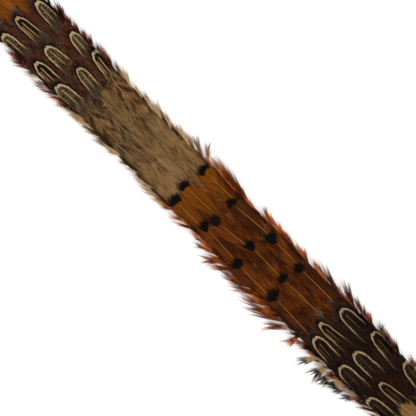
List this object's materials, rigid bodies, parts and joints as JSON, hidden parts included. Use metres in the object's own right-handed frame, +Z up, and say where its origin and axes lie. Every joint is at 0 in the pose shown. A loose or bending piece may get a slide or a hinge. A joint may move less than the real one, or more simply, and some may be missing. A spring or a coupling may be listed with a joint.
{
  "type": "quill pen",
  "caption": "Dip pen with a pull-out steel nib, a screw-in brass ferrule, a turned wooden grip and a flat plume dressed in overlapping patterned body feathers.",
  "frame": {"origin": "on the resting plane under the middle of the pen's length", "axes": "+X from the nib to the plume's tip, +Z up from the resting plane, +Y across the plume"},
  "size_m": [0.3826, 0.0274, 0.01],
  "materials": {
    "nib_steel": "drawn spring steel with a soft polish, blued a little near the shoulders",
    "brass": "turned brass, lightly tarnished in the grooves",
    "leather": "dense vegetable-tanned leather, cut edge burnished",
    "walnut": "turned walnut with an oiled satin finish, grain along the grip",
    "cane": "peeled cane, matt",
    "felt": "dense dark brown wool felt",
    "thread": "waxed linen thread, slightly glossy",
    "buff_feather": "soft buff barbs with dark brown chevrons and a pale shaft line",
    "window_feather": "near-black barbs with a cream arch inside the edge and chestnut fringes",
    "copper_feather": "copper barbs with a blue-black spot at the tip and a satin sheen"
  },
  "bodies": {
    "handle": {"grip": "walnut", "thread_bush": "brass", "rear_collar": "brass", "shaft": "cane", "upper_felt": "felt", "lower_felt": "felt", "base_whipping": "thread", "tip_whipping": "thread", "buff_course_1": "buff_feather", "window_course_1": "window_feather", "window_course_2": "window_feather", "window_course_3": "window_feather", "copper_course_1": "copper_feather", "copper_course_2": "copper_feather", "copper_course_3": "copper_feather", "copper_course_4": "copper_feather", "buff_course_2": "buff_feather", "buff_course_3": "buff_feather", "buff_course_4": "buff_feather", "window_course_4": "window_feather", "window_course_5": "window_feather", "window_course_6": "window_feather", "copper_course_5": "copper_feather", "tip_tuft": "copper_feather"},
    "washer": {"washer": "leather"},
    "ferrule": {"ferrule": "brass", "nib_core": "brass", "screw_stub": "brass"},
    "nib": {"nib": "nib_steel"}
  },
  "joints": [
    {"name": "ferrule_turn", "type": "hinge", "parent": "handle", "child": "washer", "pos_m": [-0.14879, 0, 0.00501], "axis": [-1, 0, 0], "range_deg": [0, 3600]},
    {"name": "ferrule_travel", "type": "slide", "parent": "washer", "child": "ferrule", "axis": [-1, 0, 0], "range_m": [0, 0.01]},
    {"name": "nib_pull", "type": "slide", "parent": "ferrule", "child": "nib", "axis": [-1, 0, 0], "range_m": [0, 0.013]}
  ],
  "couplings": [
    {"joint": "ferrule_turn", "follows": "ferrule_travel", "rad_per_m": 6283.2}
  ]
}
